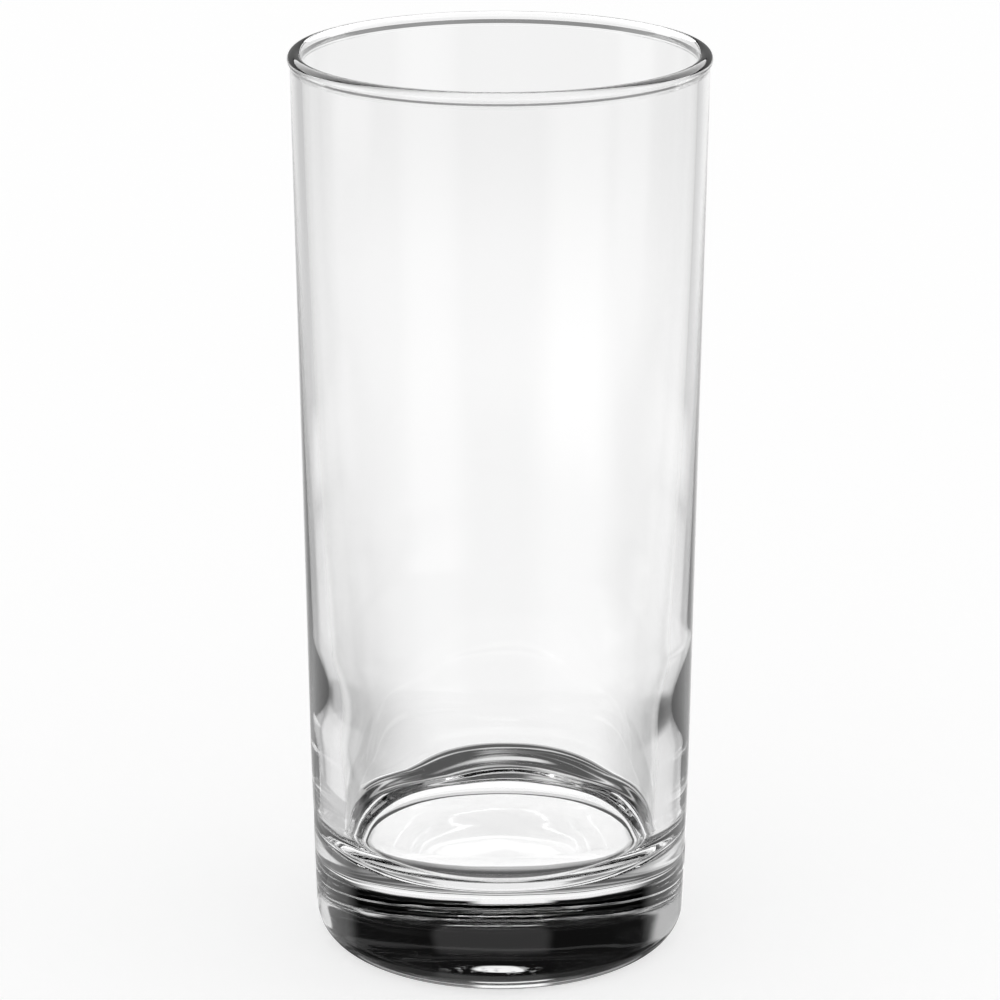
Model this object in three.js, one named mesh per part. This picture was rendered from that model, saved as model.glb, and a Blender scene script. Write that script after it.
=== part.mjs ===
// A tall, straight drinking glass with a heavy base, made from one piece of clear glass.
// Millimetres, +Z up. The origin is on the glass's axis, in the plane that it stands on.

import * as THREE from 'three';

// Driving dimensions, in millimetres.
const HEIGHT = 139;            // table to the top of the rim
const RIM_RADIUS = 31.3;       // outermost reach of the rim bead
const BEAD_STEP = 0.36;        // how far the bead stands proud of the wall below it
const BEAD_BLEND = 1.0;        // hollow rounding between the bead and that wall
const FOOT_RADIUS = 28.9;      // where the wall's straight taper would meet the table
const TUCK_DEPTH = 0.38;       // how far the foot of the wall draws in from that taper
const TUCK_HEIGHT = 39;        // height below which it draws in
const HEEL_HEIGHT = 4.2;       // height of the rounding between the wall and the underside
const UPPER_WALL = 1.75;       // thickness of the wall at the rim
const UPPER_GROWTH = 1.45;     // how much it thickens, slowly, down the drink space
const UPPER_GROWTH_TOP = 135;  // height where that slow growth starts
const LOWER_GROWTH = 0.97;     // how much more it thickens in the step above the base
const LOWER_GROWTH_TOP = 49.5; // height where that step starts, and the slow growth ends
const LOWER_GROWTH_FOOT = 34;  // height where the step ends
const BASE_THICKNESS = 14.9;   // table to the inner floor
const CORNER_REACH = 4.4;      // width of the rounding between the inner wall and the inner floor
const CORNER_RISE = 5.65;      // height of that rounding
const RING_WIDTH = 4.3;        // flat ring that the glass stands on
const PUNT_DEPTH = 0.55;       // rise of the hollow inside that ring

// Slopes and angles.
const FOOT_SLOPE = 0.058;      // millimetres that the wall thickens per millimetre below the step
const HEEL_EDGE_DEGREES = 16;  // angle at which the heel meets the ring

// Fineness of the curves.
const SEGMENTS = 72;
const HEEL_STEPS = 6;
const BEAD_STEPS = 4;
const BLEND_STEPS = 3;
const WALL_STEPS = 8;
const STEP_STEPS = 6;
const FOOT_STEPS = 3;
const CORNER_STEPS = 6;
const PUNT_STEPS = 6;

const BEAD_RADIUS = (UPPER_WALL + BEAD_STEP) / 2;
const BEAD_CENTRE_RADIUS = RIM_RADIUS - BEAD_RADIUS;
const BEAD_CENTRE_HEIGHT = HEIGHT - BEAD_RADIUS;
const SHOULDER_RADIUS = RIM_RADIUS - BEAD_STEP;
const HEEL_EDGE = THREE.MathUtils.degToRad(HEEL_EDGE_DEGREES);
const HEEL_RADIUS = HEEL_HEIGHT / Math.cos(HEEL_EDGE);

// Outside of the wall: a straight taper from foot to shoulder, drawn in near the foot.
function outerRadius(height) {
  const taper = (SHOULDER_RADIUS - FOOT_RADIUS) * (height / HEIGHT);
  const belowTuck = Math.max(0, 1 - height / TUCK_HEIGHT);
  return FOOT_RADIUS + taper - TUCK_DEPTH * belowTuck ** 2;
}

// Wall thickness: slow growth down from the rim, a quicker step, then an even slope to the inner floor.
function wallThickness(height) {
  const depth = (UPPER_GROWTH_TOP - height) / (UPPER_GROWTH_TOP - LOWER_GROWTH_TOP);
  const upper = UPPER_GROWTH * THREE.MathUtils.clamp(depth, 0, 1) ** 2;
  const step = 1 - THREE.MathUtils.smoothstep(height, LOWER_GROWTH_FOOT, LOWER_GROWTH_TOP);
  const foot = FOOT_SLOPE * Math.max(0, LOWER_GROWTH_FOOT - height);
  return UPPER_WALL + upper + LOWER_GROWTH * step + foot;
}

function innerRadius(height) {
  return outerRadius(height) - wallThickness(height);
}

// Points on an arc of the profile, from one angle to another about a centre.
// The arc is round where its width and height are equal, and elliptical where they differ.
function arc(centreRadius, centreHeight, width, height, fromAngle, toAngle, steps) {
  return Array.from({ length: steps + 1 }, (_, step) => {
    const angle = THREE.MathUtils.lerp(fromAngle, toAngle, step / steps);
    return new THREE.Vector2(
      centreRadius + width * Math.cos(angle),
      centreHeight + height * Math.sin(angle),
    );
  });
}

// Points from one height to another on a surface whose radius is a function of height.
// The first point is left out and the last is kept.
function wall(radiusAt, fromHeight, toHeight, steps) {
  return Array.from({ length: steps }, (_, step) => {
    const height = THREE.MathUtils.lerp(fromHeight, toHeight, (step + 1) / steps);
    return new THREE.Vector2(radiusAt(height), height);
  });
}

// The heel: a rounding from the ring up to the wall.
function heelPoints() {
  const centreRadius = outerRadius(HEEL_HEIGHT) - HEEL_RADIUS;
  return arc(
    centreRadius, HEEL_HEIGHT, HEEL_RADIUS, HEEL_RADIUS, HEEL_EDGE - Math.PI / 2, 0, HEEL_STEPS,
  );
}

// The underside: a shallow hollow on the axis, out to the flat ring that carries the glass.
function undersidePoints(ringRadius) {
  const hollowRadius = ringRadius - RING_WIDTH;
  return Array.from({ length: PUNT_STEPS + 1 }, (_, step) => {
    const reach = step / PUNT_STEPS;
    return new THREE.Vector2(hollowRadius * reach, PUNT_DEPTH * (1 - reach ** 2) ** 2);
  });
}

// The rim: a hollow blend out of the wall, then the bead over the top to the wall inside.
function rimPoints() {
  const span = BEAD_RADIUS + BEAD_BLEND;
  const leave = Math.acos((SHOULDER_RADIUS - BEAD_CENTRE_RADIUS + BEAD_BLEND) / span);
  const blendRadius = BEAD_CENTRE_RADIUS + span * Math.cos(leave);
  const blendHeight = BEAD_CENTRE_HEIGHT - span * Math.sin(leave);
  const blend = arc(
    blendRadius, blendHeight, BEAD_BLEND, BEAD_BLEND, Math.PI, Math.PI - leave, BLEND_STEPS,
  );
  const beadArc = (fromAngle, toAngle) => arc(
    BEAD_CENTRE_RADIUS, BEAD_CENTRE_HEIGHT, BEAD_RADIUS, BEAD_RADIUS, fromAngle, toAngle, BEAD_STEPS,
  );
  return [
    ...blend.slice(0, -1),
    ...beadArc(-leave, 0).slice(0, -1),
    ...beadArc(0, Math.PI / 2).slice(0, -1),
    ...beadArc(Math.PI / 2, Math.PI),
  ];
}

// The inner floor: a rounding down from the inner wall, then flat to the axis.
function floorPoints() {
  const centreHeight = BASE_THICKNESS + CORNER_RISE;
  const centreRadius = innerRadius(centreHeight) - CORNER_REACH;
  const corner = arc(
    centreRadius, centreHeight, CORNER_REACH, CORNER_RISE, 0, -Math.PI / 2, CORNER_STEPS,
  );
  return [...corner, new THREE.Vector2(0, BASE_THICKNESS)];
}

// The closed profile, from the middle of the underside round to the middle of the inner floor.
function profile() {
  const heel = heelPoints();
  const underside = undersidePoints(heel[0].x);
  const rim = rimPoints();
  const floor = floorPoints();
  const wallTop = rim[0].y;
  const innerTop = rim[rim.length - 1].y;
  return [
    ...underside,
    ...heel,
    ...wall(outerRadius, HEEL_HEIGHT, TUCK_HEIGHT, WALL_STEPS),
    ...wall(outerRadius, TUCK_HEIGHT, wallTop, 2).slice(0, -1),
    ...rim,
    ...wall(innerRadius, innerTop, LOWER_GROWTH_TOP, WALL_STEPS),
    ...wall(innerRadius, LOWER_GROWTH_TOP, LOWER_GROWTH_FOOT, STEP_STEPS),
    ...wall(innerRadius, LOWER_GROWTH_FOOT, floor[0].y, FOOT_STEPS).slice(0, -1),
    ...floor,
  ];
}

const clearGlass = new THREE.MeshStandardMaterial({
  color: 0xf4f7f6,
  roughness: 0.02,
  metalness: 0,
  transparent: true,
  opacity: 0.35,
});

const tumbler = new THREE.Mesh(new THREE.LatheGeometry(profile(), SEGMENTS), clearGlass);
tumbler.name = 'tumbler';
tumbler.rotation.x = Math.PI / 2;

const glass = new THREE.Group();
glass.add(tumbler);

export default glass;
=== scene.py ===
"""A tall, straight drinking glass of clear glass on a pale studio floor."""

import math
from collections import namedtuple

import bpy
import numpy as np
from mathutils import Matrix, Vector


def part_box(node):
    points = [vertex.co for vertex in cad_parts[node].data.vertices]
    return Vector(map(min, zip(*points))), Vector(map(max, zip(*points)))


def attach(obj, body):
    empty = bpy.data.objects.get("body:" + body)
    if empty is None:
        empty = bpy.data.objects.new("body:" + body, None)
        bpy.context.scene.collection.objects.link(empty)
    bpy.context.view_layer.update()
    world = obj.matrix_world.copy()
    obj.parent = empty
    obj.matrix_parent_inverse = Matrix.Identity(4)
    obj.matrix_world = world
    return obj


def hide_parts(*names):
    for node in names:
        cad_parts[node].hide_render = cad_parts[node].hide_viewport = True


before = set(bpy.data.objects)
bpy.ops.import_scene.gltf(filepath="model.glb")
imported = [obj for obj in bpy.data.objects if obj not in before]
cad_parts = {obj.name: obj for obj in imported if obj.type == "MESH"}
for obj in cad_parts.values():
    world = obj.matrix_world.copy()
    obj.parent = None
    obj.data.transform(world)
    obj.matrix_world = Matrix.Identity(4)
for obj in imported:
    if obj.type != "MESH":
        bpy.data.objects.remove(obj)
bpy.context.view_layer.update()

MM = 0.001
DEGREE = math.pi / 180

# Outside of the glass, in millimetres and degrees. Height and rim come from the frame.
HIGH_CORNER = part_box("tumbler")[1]
HEIGHT = HIGH_CORNER.z / MM
RIM_RADIUS = HIGH_CORNER.x / MM
BEAD_STEP = 0.36
BEAD_BLEND = 1.0
FOOT_RADIUS = 28.9
TUCK_DEPTH = 0.38
TUCK_HEIGHT = 39.0
HEEL_RADIUS = 4.2
HEEL_EDGE = 16.0
RING_WIDTH = 4.3
PUNT_DEPTH = 0.55

# The wall is thinnest at the rim. It grows slowly down the drink space and quickly just above the base.
UPPER_WALL = 1.75
UPPER_GROWTH = 1.45
UPPER_GROWTH_TOP = 135.0
UPPER_GROWTH_FOOT = 50.0
LOWER_GROWTH = 1.03
LOWER_GROWTH_TOP = 49.5
LOWER_GROWTH_DEPTH = 15.5
LOWER_GROWTH_LEAN = 1.2
LOWER_SIDE_EASE = 0.13
FOOT_SLOPE = 0.068
FOOT_SIDE_EASE = 0.02
FOOT_SLOPE_TOP = 34.0
FOOT_SLOPE_BLEND = 1.5

# The corner between wall and floor inside is higher at the front, and has pressing ripples at the back.
BASE_THICKNESS = 14.9
CORNER_REACH = 4.4
FRONT_CORNER_RISE = 7.0
BACK_CORNER_RISE = 4.3
RIPPLE = 0.09
RIPPLE_COUNT = 3.0
RIPPLE_EASE = 0.6
RIPPLE_DRIFT = 1.1
RIPPLE_TWIST = 0.25

# How finely the glass is drawn.
SEGMENTS = 256
PUNT_STEPS = 36
RING_STEPS = 12
HEEL_STEPS = 25
WALL_STEPS = 57
BLEND_STEPS = 9
BEAD_STEPS = 29
INSIDE_STEPS = 90
CORNER_STEPS = 61
FLOOR_STEPS = 24
EDGE_GAP = 0.03
JOINT_REACH = 1.0
JOINT_GAPS = np.array([0.5, 0.2, 0.05])

BEAD_RADIUS = (UPPER_WALL + BEAD_STEP) / 2
SHOULDER_RADIUS = RIM_RADIUS - BEAD_STEP

# Faint waviness of pressed glass, stronger in the base, and wear on the ring that the glass stands on.
INDEX = 1.52
WAVE_SCALE = 90.0
WAVE_DETAIL = 1.0
WAVE_BASE = 0.00006
WAVE_WALL = 0.000004
WAVE_LOW = 0.012
WAVE_HIGH = 0.030
WEAR_SCALE = 900.0
WEAR_DETAIL = 2.0
WEAR_EDGES = (0.45, 0.65)
WEAR_ROUGHNESS = 0.12
WEAR_LOW = 0.00005
WEAR_HIGH = 0.0004

# Camera, in millimetres and degrees.
CAMERA_DISTANCE = 574.2
CAMERA_HEIGHT = 253.6
CAMERA_PITCH = 17.77
CAMERA_LENS = 142.65
CAMERA_SENSOR = 36.0
CAMERA_CLIP = (0.01, 50.0)

# Floor and soft light. The lift is what the camera sees of the floor beyond its own diffuse light.
FLOOR_SIZE = 6.0
FLOOR_ALBEDO = 0.8
FLOOR_LIFT = 0.62
SOFT_LIGHT = 0.45
DARK = 0.005
GLASS_BOUNCES = 40
GLOSSY_BOUNCES = 8

# Panels of the studio, as directions in degrees. Turn is measured from the back of the set towards the right.
# A panel fades out between two half widths, and over the soft edge at its low and high ends.
Panel = namedtuple("Panel", "turn inner outer low high soft level")
PANELS = [
    Panel(0, 180, 181, -18, -8, 1.2, 0.5),
    Panel(0, 30, 75, -22.3, -8, 1.2, 0.62),
    Panel(0, 9, 17, -29.6, -14, 1, 1.32),
    Panel(0, 60, 90, -22.3, -19, 1.5, 0.92),
    Panel(0, 60, 80, -46, -28, 1, 0.12),
    Panel(-2.7, 6, 10, -10, 15, 1.5, 1),
    Panel(2, 11, 14, 15, 27, 2, 0.03),
    Panel(2, 9, 14, 31.95, 33.5, 0.12, 1),
    Panel(-45, 8, 24, -38, -9, 2, 0.65),
    Panel(135, 8, 36, -22.5, -3, 1, 1),
    Panel(-90, 8, 26, -15, 9, 2, 1),
    Panel(-20, 40, 55, -33, -9, 3, 0.48),
    Panel(30, 30, 50, -33, -9, 3, 0.65),
    Panel(-75, 22, 30, 12, 36, 4, 0.45),
    Panel(86, 20, 24, 12, 36, 4, 0.85),
    # Behind the glass in low views, and at the sides in high ones.
    Panel(0, 26, 44, -9, 6, 2, 0.95),
    Panel(-48, 18, 34, -33, -21.2, 1.5, 0.84),
    Panel(48, 18, 34, -33, -21.2, 1.5, 0.84),
]
BACK_PANEL = Panel(0, 8, 36, -29.6, -8, 1.0, 0.91)
BACK_PANEL_GAIN = 0.14
BACK_PANEL_GAIN_EDGES = (-11, -17)
TABLE_EDGES = (-42, -45)
TABLE_WINDOW = (25, 55)
TABLE_BELOW = (-62, -68)
TABLE_LEVEL = 0.6
TABLE_ROUND = 0.3

# Cards close to the glass, which only light that passes through or off the glass can see.
# Places are in millimetres and turns in degrees. Two cards that overlap lie at different heights.
# The cards on the table stand in for the table as the glass shows it, with the table's light and the glass's
# shadow on it painted into their glow.
UPRIGHT_BEHIND = 60.0
TABLE_LIFT = 0.2
SIDE_LIFT = 0.3
CARD_PIECES = 64

# The large card on the table dims towards its sides and far end, and is clear at its edges.
# Reach is in metres.
DIM_CENTRE = 4.0
DIM_TURNS = (13.0, 45.0)
DIM_SIDES = 0.5
DIM_REACH = (0.25, 0.6)
DIM_FAR = 0.88
CLEAR_TURNS = (28.0, 45.0)
CLEAR_REACH = (0.55, 1.9)

# The card seen in the ring at the foot of the inner wall is a painted shadow of the glass on the table, with
# streaks of painted light round the glass.
STREAK_PER_METRE = 380.0
STREAK_PER_RADIAN = 2.2
STREAK_SEED = 7.1
STREAK_DETAIL = 1.0
STREAK_EDGES = (0.42, 0.68)
STREAK_DARK = 0.12


def smooth(start, end, value):
    step = np.clip((value - start) / (end - start), 0, 1)
    return step * step * (3 - 2 * step)


def line(radii, heights):
    return np.stack(np.broadcast_arrays(radii, heights), axis=1).astype(float)


def outer_radius(height):
    taper = (SHOULDER_RADIUS - FOOT_RADIUS) * (height / HEIGHT)
    below_tuck = np.maximum(0, 1 - height / TUCK_HEIGHT)
    return FOOT_RADIUS + taper - TUCK_DEPTH * below_tuck ** 2


def wall_thickness(height, angle):
    side = math.cos(angle)
    depth = (UPPER_GROWTH_TOP - height) / (UPPER_GROWTH_TOP - UPPER_GROWTH_FOOT)
    upper = UPPER_GROWTH * np.clip(depth, 0, 1) ** 2
    top = LOWER_GROWTH_TOP - LOWER_GROWTH_LEAN * side
    growth = LOWER_GROWTH - LOWER_SIDE_EASE * side ** 2
    lower = growth * smooth(top, top - LOWER_GROWTH_DEPTH, height)
    below = (FOOT_SLOPE_TOP - height) / FOOT_SLOPE_BLEND
    slope = FOOT_SLOPE - FOOT_SIDE_EASE * side ** 2
    foot = slope * FOOT_SLOPE_BLEND * np.logaddexp(0, below)
    return UPPER_WALL + upper + lower + foot


def inner_radius(height, angle):
    return outer_radius(height) - wall_thickness(height, angle)


def heel_points():
    radius = HEEL_RADIUS / math.cos(math.radians(HEEL_EDGE))
    centre = outer_radius(HEEL_RADIUS) - radius
    turn = np.linspace(math.radians(HEEL_EDGE - 90), 0, HEEL_STEPS)
    turn = np.insert(turn, 1, turn[0] + EDGE_GAP / radius)
    return line(centre + radius * np.cos(turn), HEEL_RADIUS + radius * np.sin(turn))


def underside_points():
    edge = heel_points()[0][0]
    hollow = edge - RING_WIDTH
    reach = np.linspace(0, 1, PUNT_STEPS)[1:]
    punt = line(hollow * reach, PUNT_DEPTH * (1 - reach ** 2) ** 2)
    ring = np.append(np.linspace(hollow, edge, RING_STEPS)[1:-1], edge - EDGE_GAP)
    return np.concatenate([punt, line(ring, 0)])


def bead_points():
    """The round lip, with the hollow blend that joins it to the outside of the wall."""
    centre = RIM_RADIUS - BEAD_RADIUS
    level = HEIGHT - BEAD_RADIUS
    span = BEAD_RADIUS + BEAD_BLEND
    leave = math.acos((SHOULDER_RADIUS - centre + BEAD_BLEND) / span)
    hollow = centre + span * math.cos(leave)
    below = level - span * math.sin(leave)
    bend = np.linspace(0, leave, BLEND_STEPS)[:-1]
    turn = np.linspace(-leave, math.pi, BEAD_STEPS)
    return np.concatenate([
        line(hollow - BEAD_BLEND * np.cos(bend), below + BEAD_BLEND * np.sin(bend)),
        line(centre + BEAD_RADIUS * np.cos(turn), level + BEAD_RADIUS * np.sin(turn)),
    ])


def corner_points(angle):
    back = 0.5 + 0.5 * math.sin(angle)
    rise = FRONT_CORNER_RISE + (BACK_CORNER_RISE - FRONT_CORNER_RISE) * back
    top = BASE_THICKNESS + rise
    centre = inner_radius(top, angle) - CORNER_REACH
    share = np.linspace(0, 1, CORNER_STEPS)
    turn = -share * math.pi / 2
    drift = RIPPLE_DRIFT * math.cos(angle) ** 2 + RIPPLE_TWIST * math.sin(2 * angle)
    wave = np.sin(2 * math.pi * RIPPLE_COUNT * share + math.pi + drift)
    ripple = RIPPLE * back * wave * np.sin(math.pi * share) ** RIPPLE_EASE
    return line(
        centre + (CORNER_REACH + ripple) * np.cos(turn),
        top + (rise + ripple) * np.sin(turn),
    )


def profile(angle):
    """The section at one angle, from the middle of the underside round to the middle of the floor."""
    bead = bead_points()
    corner = corner_points(angle)
    joint = bead[0][1]
    outside = np.append(np.linspace(HEEL_RADIUS, joint - JOINT_REACH, WALL_STEPS)[1:], joint - JOINT_GAPS)
    inside = np.linspace(bead[-1][1], corner[0][1], INSIDE_STEPS)[1:-1]
    floor = np.linspace(corner[-1][0], 0, FLOOR_STEPS)[1:-1]
    return np.concatenate([
        underside_points(),
        heel_points(),
        line(outer_radius(outside), outside),
        bead,
        line(inner_radius(inside, angle), inside),
        corner,
        line(floor, BASE_THICKNESS),
    ])


def add_object(name, points, faces):
    mesh = bpy.data.meshes.new(name)
    mesh.from_pydata(points, [], faces)
    obj = bpy.data.objects.new(name, mesh)
    bpy.context.scene.collection.objects.link(obj)
    return obj


def tumbler():
    angles = np.arange(SEGMENTS) * (2 * math.pi / SEGMENTS)
    sections = np.stack([profile(angle) for angle in angles], axis=1)
    rows = sections.shape[0]
    radius = sections[:, :, 0]
    grid = np.stack([radius * np.cos(angles), radius * np.sin(angles), sections[:, :, 1]], axis=2)
    points = [tuple(point) for point in grid.reshape(-1, 3) * MM]
    bottom = len(points)
    points.append((0, 0, PUNT_DEPTH * MM))
    top = len(points)
    points.append((0, 0, BASE_THICKNESS * MM))
    last = (rows - 1) * SEGMENTS
    faces = []
    for column in range(SEGMENTS):
        following = (column + 1) % SEGMENTS
        for row in range(rows - 1):
            low = row * SEGMENTS
            high = low + SEGMENTS
            faces.append((low + column, low + following, high + following, high + column))
        faces.append((bottom, following, column))
        faces.append((last + column, last + following, top))
    obj = add_object("tumbler_glass", points, faces)
    obj.data.shade_smooth()
    return obj


class Graph:
    """Adds nodes to one node tree."""

    def __init__(self, tree):
        self.tree = tree

    def node(self, kind, **settings):
        node = self.tree.nodes.new(kind)
        for name, value in settings.items():
            setattr(node, name, value)
        return node

    def feed(self, socket, value):
        if isinstance(value, (int, float)):
            socket.default_value = value
        else:
            self.tree.links.new(value, socket)

    def calc(self, operation, *values):
        node = self.node("ShaderNodeMath", operation=operation)
        for socket, value in zip(node.inputs, values):
            self.feed(socket, value)
        return node.outputs[0]

    def ramp(self, value, low, high, start=0.0, end=1.0):
        node = self.node("ShaderNodeMapRange", interpolation_type="SMOOTHSTEP")
        self.feed(node.inputs["Value"], value)
        self.feed(node.inputs["From Min"], low)
        self.feed(node.inputs["From Max"], high)
        self.feed(node.inputs["To Min"], start)
        self.feed(node.inputs["To Max"], end)
        return node.outputs["Result"]

    def split(self, vector):
        node = self.node("ShaderNodeSeparateXYZ")
        self.feed(node.inputs[0], vector)
        return node.outputs

    def noise(self, vector, scale, detail):
        node = self.node("ShaderNodeTexNoise")
        self.feed(node.inputs["Vector"], vector)
        self.feed(node.inputs["Scale"], scale)
        self.feed(node.inputs["Detail"], detail)
        return node.outputs["Fac"]


def new_material(name):
    material = bpy.data.materials.new(name)
    material.use_nodes = True
    return material, Graph(material.node_tree)


def glass_material():
    material, graph = new_material("clear_glass")
    shader = material.node_tree.nodes["Principled BSDF"]
    shader.inputs["Base Color"].default_value = (1, 1, 1, 1)
    shader.inputs["IOR"].default_value = INDEX
    shader.inputs["Transmission Weight"].default_value = 1.0
    place = graph.node("ShaderNodeTexCoord").outputs["Object"]
    height = graph.split(place)["Z"]
    wave_size = graph.ramp(height, WAVE_LOW, WAVE_HIGH, WAVE_BASE, WAVE_WALL)
    wave = graph.calc("MULTIPLY", graph.noise(place, WAVE_SCALE, WAVE_DETAIL), wave_size)
    bump = graph.node("ShaderNodeBump")
    bump.inputs["Distance"].default_value = 1.0
    graph.feed(bump.inputs["Height"], wave)
    graph.feed(shader.inputs["Normal"], bump.outputs["Normal"])
    standing = graph.ramp(height, WEAR_LOW, WEAR_HIGH, 1.0, 0.0)
    scuffs = graph.noise(place, WEAR_SCALE, WEAR_DETAIL)
    wear = graph.ramp(scuffs, *WEAR_EDGES, 0.0, WEAR_ROUGHNESS)
    graph.feed(shader.inputs["Roughness"], graph.calc("MULTIPLY", standing, wear))
    return material


def floor_material():
    material, graph = new_material("studio_floor")
    tree = material.node_tree
    tree.nodes.clear()
    diffuse = graph.node("ShaderNodeBsdfDiffuse")
    diffuse.inputs["Color"].default_value = (FLOOR_ALBEDO, FLOOR_ALBEDO, FLOOR_ALBEDO, 1)
    seen = graph.node("ShaderNodeLightPath").outputs["Is Camera Ray"]
    glow = graph.node("ShaderNodeEmission")
    graph.feed(glow.inputs["Strength"], graph.calc("MULTIPLY", seen, FLOOR_LIFT))
    both = graph.node("ShaderNodeAddShader")
    graph.feed(both.inputs[0], diffuse.outputs[0])
    graph.feed(both.inputs[1], glow.outputs[0])
    graph.feed(graph.node("ShaderNodeOutputMaterial").inputs["Surface"], both.outputs[0])
    return material


def studio_floor():
    corners = [(-1, -1), (1, -1), (1, 1), (-1, 1)]
    floor = add_object("floor", [(x * FLOOR_SIZE, y * FLOOR_SIZE, 0) for x, y in corners], [(0, 1, 2, 3)])
    floor.data.materials.append(floor_material())
    floor.visible_transmission = False
    floor.visible_glossy = False


def polar(graph):
    """Turn round the glass and distance from its axis, for a card on the table."""
    coords = graph.node("ShaderNodeTexCoord").outputs["Object"]
    place = graph.split(coords)
    length = graph.node("ShaderNodeVectorMath", operation="LENGTH")
    graph.feed(length.inputs[0], coords)
    return graph.calc("ARCTAN2", place["X"], place["Y"]), length.outputs["Value"]


def fade(graph, glow, level):
    """Dims a card's light towards its sides and far end, and makes it clear at its edges."""
    turn, reach = polar(graph)
    aside = graph.calc("ABSOLUTE", graph.calc("SUBTRACT", turn, math.radians(DIM_CENTRE)))
    sides = graph.ramp(aside, *map(math.radians, DIM_TURNS), 1.0, DIM_SIDES)
    ends = graph.ramp(reach, *DIM_REACH, 1.0, DIM_FAR)
    dimmed = graph.calc("MULTIPLY", sides, ends)
    graph.feed(glow.inputs["Strength"], graph.calc("MULTIPLY", dimmed, level))
    clear_sides = graph.ramp(graph.calc("ABSOLUTE", turn), *map(math.radians, CLEAR_TURNS))
    clear_end = graph.ramp(reach, *CLEAR_REACH)
    mix = graph.node("ShaderNodeMixShader")
    graph.feed(mix.inputs[0], graph.calc("MAXIMUM", clear_sides, clear_end))
    graph.feed(mix.inputs[1], glow.outputs[0])
    graph.feed(mix.inputs[2], graph.node("ShaderNodeBsdfTransparent").outputs[0])
    return mix


def streak(graph, glow, level):
    """Breaks a card's light into streaks that run round the glass."""
    turn, reach = polar(graph)
    spread = graph.node("ShaderNodeCombineXYZ")
    graph.feed(spread.inputs[0], graph.calc("MULTIPLY", reach, STREAK_PER_METRE))
    graph.feed(spread.inputs[1], graph.calc("MULTIPLY", turn, STREAK_PER_RADIAN))
    graph.feed(spread.inputs[2], STREAK_SEED)
    streaks = graph.noise(spread.outputs[0], 1.0, STREAK_DETAIL)
    graph.feed(glow.inputs["Strength"], graph.ramp(streaks, *STREAK_EDGES, STREAK_DARK * level, level))
    return glow


def card(name, points, faces, level, shade=None):
    obj = add_object(name, [Vector(point) * MM for point in points], faces)
    material, graph = new_material(name)
    material.node_tree.nodes.clear()
    glow = graph.node("ShaderNodeEmission")
    glow.inputs["Strength"].default_value = level
    surface = shade(graph, glow, level) if shade else glow
    graph.feed(graph.node("ShaderNodeOutputMaterial").inputs["Surface"], surface.outputs[0])
    obj.data.materials.append(material)
    obj.visible_camera = False
    obj.visible_diffuse = False
    obj.visible_shadow = False


def upright_card(name, half_width, low, high, level):
    corners = [(-half_width, low), (half_width, low), (half_width, high), (-half_width, high)]
    card(name, [(x, UPRIGHT_BEHIND, z) for x, z in corners], [(0, 1, 2, 3)], level)


def round_card(name, edges, start, end, level, shade=None):
    """A card that runs round the glass between two edges, each of them a radius and a height."""
    points = []
    for turn in np.radians(np.linspace(start, end, CARD_PIECES + 1)):
        for radius, height in edges:
            points.append((radius * math.sin(turn), radius * math.cos(turn), height))
    faces = [(2 * i, 2 * i + 1, 2 * i + 3, 2 * i + 2) for i in range(CARD_PIECES)]
    card(name, points, faces, level, shade)


def table_card(name, inner, outer, start, end, level, shade=None, lift=TABLE_LIFT):
    round_card(name, [(inner, lift), (outer, lift)], start, end, level, shade)


def studio_cards():
    upright_card("rim_card", half_width=95, low=140, high=156, level=0.3)
    upright_card("top_card", half_width=200, low=157.5, high=320, level=2.6)
    round_card("lip_card", edges=[(48, 136.3), (48, 140.2)], start=-85, end=85, level=0.3)
    table_card("table_card", inner=57, outer=1900, start=-45, end=45, level=1.06, shade=fade)
    # Painted shadow of the glass on the table round its foot, with streaks of painted light in it.
    table_card("shade_card", inner=30.5, outer=46, start=-75, end=56, level=0.9, shade=streak)
    # Painted light on the table just round the foot, brighter than the table elsewhere.
    table_card("foot_light_card", inner=27, outer=30.4, start=-75, end=75, level=1.2)
    table_card("side_card", inner=36, outer=60, start=-80, end=-42, level=0.6, lift=SIDE_LIFT)


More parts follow.
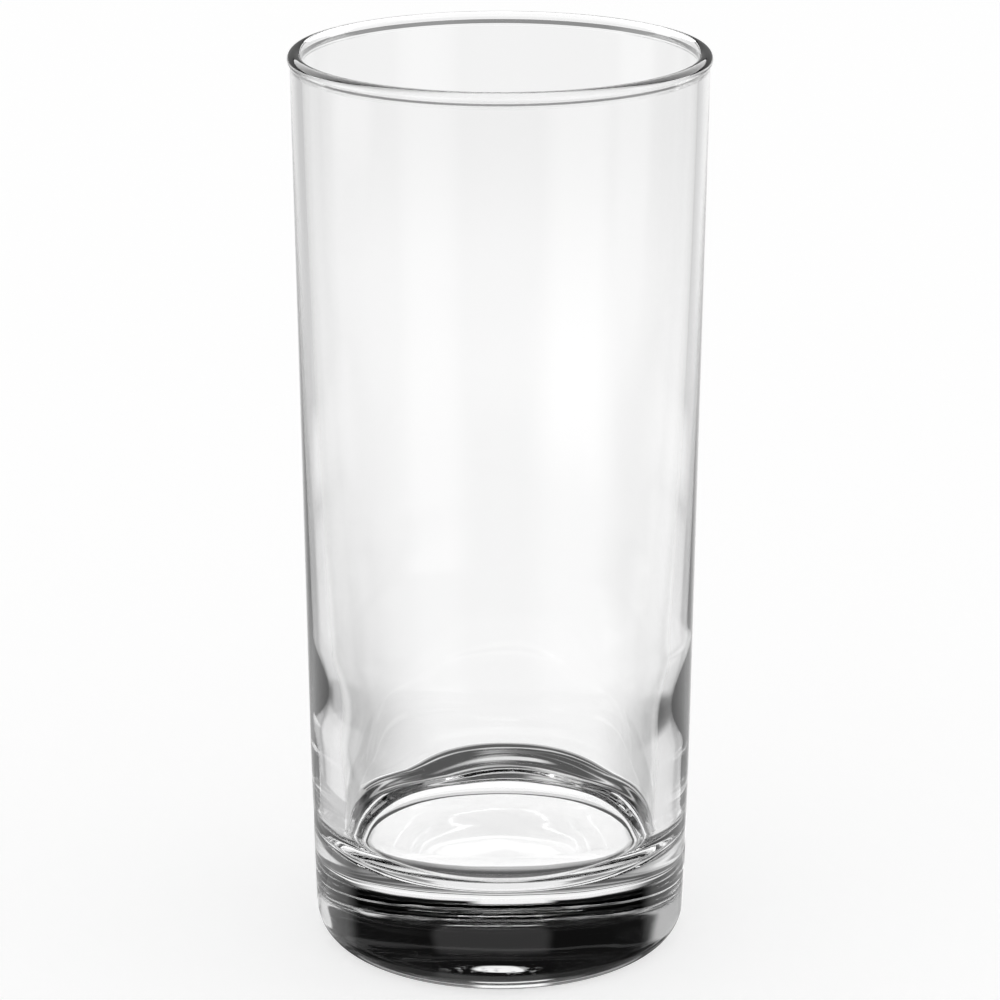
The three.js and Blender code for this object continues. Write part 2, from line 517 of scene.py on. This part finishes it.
def studio_world():
    world = bpy.data.worlds.new("studio")
    bpy.context.scene.world = world
    world.use_nodes = True
    tree = world.node_tree
    tree.nodes.clear()
    graph = Graph(tree)
    calc = graph.calc
    ramp = graph.ramp
    way = graph.split(graph.node("ShaderNodeTexCoord").outputs["Generated"])
    elevation = calc("DIVIDE", calc("ARCSINE", way["Z"]), DEGREE)
    azimuth = calc("DIVIDE", calc("ARCTAN2", way["X"], way["Y"]), DEGREE)

    def window(turn, inner, outer):
        off = calc("ABSOLUTE", calc("SUBTRACT", azimuth, turn))
        off = calc("MINIMUM", off, calc("SUBTRACT", 360.0, off))
        return ramp(off, outer, inner)

    def lit(panel):
        low = ramp(elevation, panel.low - panel.soft, panel.low + panel.soft)
        high = ramp(elevation, panel.high + panel.soft, panel.high - panel.soft)
        across = window(panel.turn, panel.inner, panel.outer)
        return calc("MULTIPLY", across, calc("MULTIPLY", low, high))

    gain = calc("MULTIPLY", ramp(elevation, *BACK_PANEL_GAIN_EDGES), BACK_PANEL_GAIN)
    total = calc("MULTIPLY", lit(BACK_PANEL), calc("ADD", gain, BACK_PANEL.level))
    for panel in PANELS:
        total = calc("MAXIMUM", total, calc("MULTIPLY", lit(panel), panel.level))
    spread = calc("MAXIMUM", window(0, *TABLE_WINDOW), ramp(elevation, *TABLE_BELOW))
    spread = calc("ADD", calc("MULTIPLY", spread, TABLE_LEVEL), TABLE_ROUND)
    total = calc("MAXIMUM", total, calc("MULTIPLY", ramp(elevation, *TABLE_EDGES), spread))
    total = calc("ADD", total, DARK)

    path = graph.node("ShaderNodeLightPath").outputs
    seen = calc("MAXIMUM", calc("MULTIPLY", path["Is Diffuse Ray"], SOFT_LIGHT), path["Is Camera Ray"])
    background = graph.node("ShaderNodeBackground")
    background.inputs["Color"].default_value = (1, 1, 1, 1)
    graph.feed(background.inputs["Strength"], calc("MAXIMUM", total, seen))
    graph.feed(graph.node("ShaderNodeOutputWorld").inputs["Surface"], background.outputs[0])


def studio_camera():
    data = bpy.data.cameras.new("camera")
    data.lens = CAMERA_LENS
    data.sensor_width = CAMERA_SENSOR
    data.clip_start, data.clip_end = CAMERA_CLIP
    obj = bpy.data.objects.new("camera", data)
    bpy.context.scene.collection.objects.link(obj)
    obj.location = Vector((0, -CAMERA_DISTANCE, CAMERA_HEIGHT)) * MM
    obj.rotation_euler = (math.radians(90 - CAMERA_PITCH), 0, 0)
    bpy.context.scene.camera = obj


glass = tumbler()
glass.data.materials.append(glass_material())
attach(glass, "root")
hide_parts("tumbler")

studio_floor()
studio_cards()
studio_world()
studio_camera()

scene = bpy.context.scene
scene.view_settings.view_transform = "Standard"
scene.cycles.max_bounces = GLASS_BOUNCES
scene.cycles.transmission_bounces = GLASS_BOUNCES
scene.cycles.glossy_bounces = GLOSSY_BOUNCES
